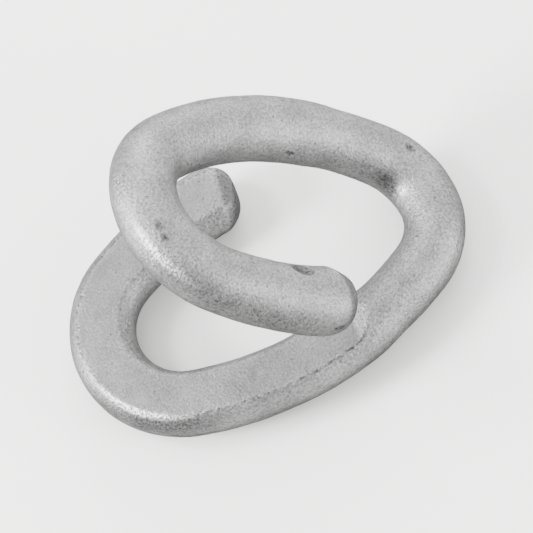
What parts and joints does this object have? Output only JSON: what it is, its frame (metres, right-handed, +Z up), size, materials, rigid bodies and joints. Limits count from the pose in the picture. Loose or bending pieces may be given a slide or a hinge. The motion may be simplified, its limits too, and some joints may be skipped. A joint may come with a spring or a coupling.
{
  "type": "open lap link",
  "caption": "Open forged lap link for joining chain: two flat-faced hooks that share a round bow, hammered shut once the parts are on.",
  "frame": {"origin": "bottom centre of the bounding box, on the ground that the link lies on", "axes": "+X along the lower hook, from its lapped bow to the full-round bow; +Z up, square to the lower hook's lap face; +Y across the link, towards the lower hook's open side"},
  "size_m": [0.068, 0.0472, 0.052],
  "materials": {
    "galvanised_steel": "hot-dip galvanised forging, matt grey zinc with a fine grain and small pits"
  },
  "bodies": {
    "root": {"lap_link": "galvanised_steel"}
  },
  "joints": []
}
